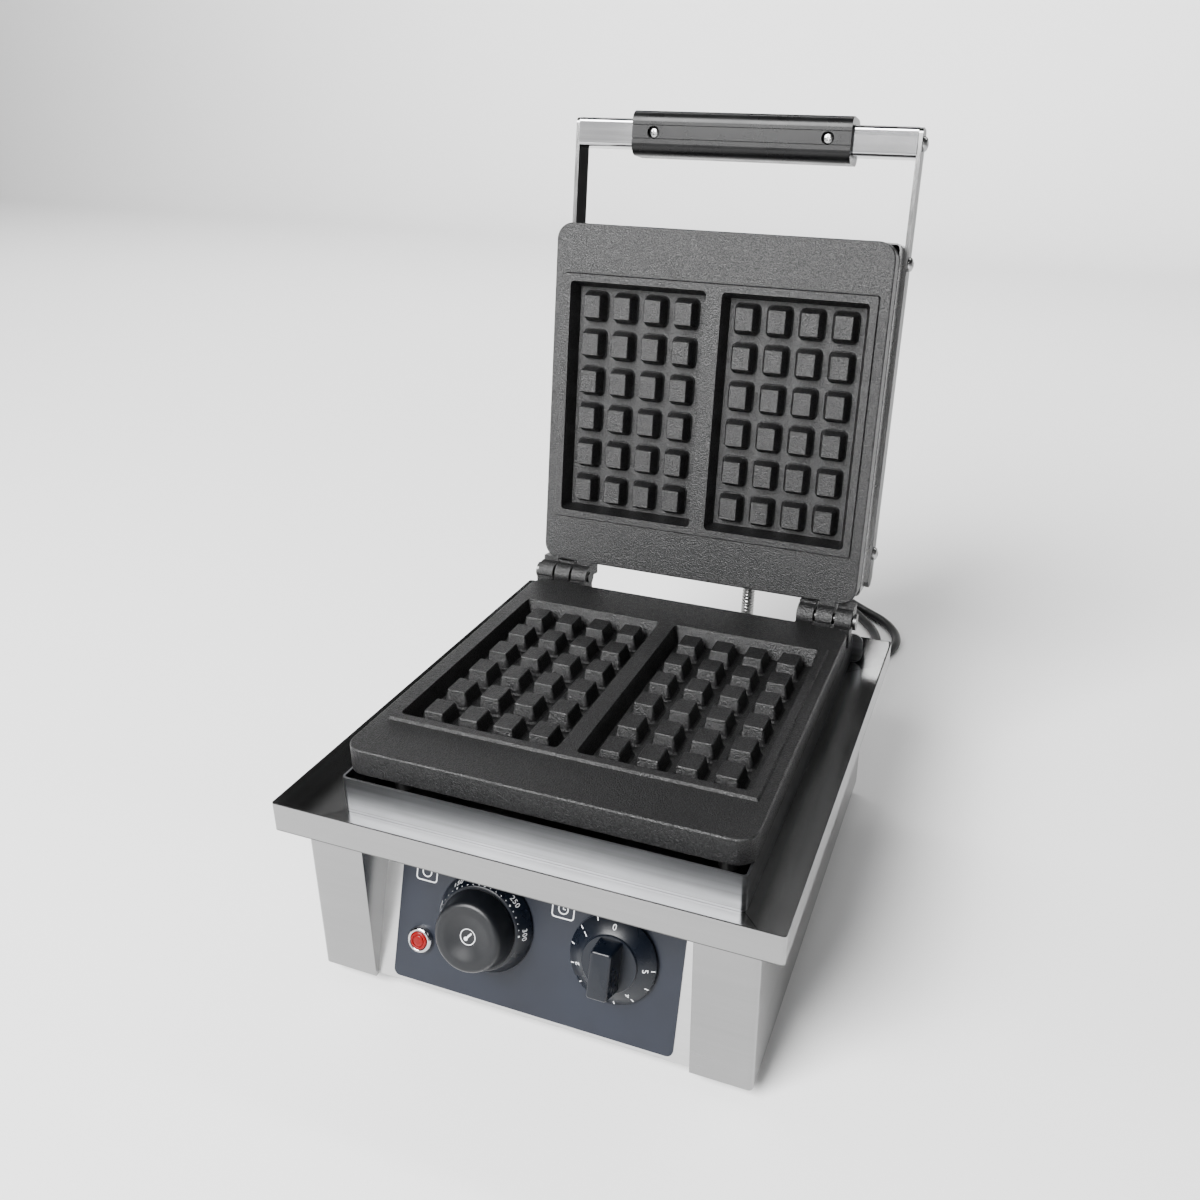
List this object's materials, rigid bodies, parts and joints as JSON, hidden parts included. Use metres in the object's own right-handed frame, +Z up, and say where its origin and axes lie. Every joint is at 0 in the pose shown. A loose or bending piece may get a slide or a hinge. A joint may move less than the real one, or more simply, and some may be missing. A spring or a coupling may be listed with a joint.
{
  "type": "belgian waffle maker",
  "caption": "Countertop Belgian waffle maker with hinged cast plates, a peg grid, a stainless base with a drip tray, a bar handle, and thermostat and timer knobs.",
  "frame": {"origin": "on the worktop under the feet, in the middle of the box that the object fills with its lid open", "axes": "+Z up, front towards -Y, +X to the right seen from the front"},
  "size_m": [0.3, 0.7912, 0.4922],
  "materials": {
    "stainless": "brushed",
    "stainless_bright": "bright, fine brushed",
    "plate_coating": "dark coated casting, fine grain",
    "overlay": "satin printed sheet",
    "knob_gloss": "glossy",
    "knob_matte": "satin moulded",
    "grip": "satin moulded",
    "screw_steel": "bright",
    "heater_steel": "plain",
    "insulation": "pressed fibre",
    "ceramic": "unglazed",
    "case_plastic": "moulded",
    "bezel": "polished",
    "lens_red": "clear red, glossy",
    "conduit_steel": "ribbed, bright",
    "rubber": "matt",
    "cord": "satin",
    "pin_brass": "bright"
  },
  "bodies": {
    "base": {"base_housing": "stainless", "bottom_cover": "stainless", "control_panel": "stainless_bright", "panel_overlay": "overlay", "drip_tray": "stainless", "plate_upstand": "stainless", "rear_upstand": "stainless", "lower_plate": "plate_coating", "lower_heating_element": "heater_steel", "lower_element_clamp": "heater_steel", "lower_insulation_pad": "insulation", "lower_clamp_studs": "heater_steel", "plate_posts": "heater_steel", "plate_post_screws": "screw_steel", "foot_screws": "screw_steel", "terminal_block": "ceramic", "hinge_pin_right": "screw_steel", "hinge_pin_left": "screw_steel", "thermostat_body": "case_plastic", "thermostat_bulb": "heater_steel", "thermostat_dial": "knob_gloss", "timer_body": "case_plastic", "lamp_bezel": "bezel", "lamp_lens": "lens_red", "lamp_body": "case_plastic", "conduit_base_gland": "conduit_steel", "conduit": "conduit_steel", "cord_gland": "rubber", "mains_cord": "cord", "cord_coil": "cord", "cord_tail": "cord", "cord_tie": "grip", "plug_body": "rubber", "plug_pins": "pin_brass", "foot_front_left": "rubber", "foot_front_right": "rubber", "foot_rear_left": "rubber", "foot_rear_right": "rubber"},
    "lid": {"upper_plate": "plate_coating", "upper_heating_element": "heater_steel", "upper_element_clamp": "heater_steel", "upper_insulation_pad": "insulation", "upper_clamp_studs": "heater_steel", "lid_cover": "stainless", "lid_posts": "heater_steel", "lid_cover_screws": "screw_steel", "handle_arm_right": "stainless", "handle_arm_left": "stainless", "handle_arm_screws": "screw_steel", "handle_tube": "stainless_bright", "handle_tube_blocks": "heater_steel", "handle_tube_screws": "screw_steel", "handle_grip": "grip", "handle_grip_screws": "screw_steel", "conduit_lid_gland": "conduit_steel"},
    "thermostat": {"thermostat_knob": "knob_matte", "thermostat_shaft": "heater_steel"},
    "timer": {"timer_knob": "knob_gloss", "timer_shaft": "heater_steel"}
  },
  "joints": [
    {"name": "lid_hinge", "type": "hinge", "parent": "base", "child": "lid", "pos_m": [0, 0.09354, 0.15605], "axis": [1, 0, 0], "range_deg": [0, 98.9], "deforming": ["conduit"]},
    {"name": "thermostat_turn", "type": "hinge", "parent": "base", "child": "thermostat", "pos_m": [-0.03154, -0.17608, 0.05967], "axis": [0, 0.9553, -0.2957], "range_deg": [0, 225]},
    {"name": "timer_turn", "type": "hinge", "parent": "base", "child": "timer", "pos_m": [0.049, -0.17608, 0.05967], "axis": [0, 0.9553, -0.2957], "range_deg": [0, 270]}
  ]
}
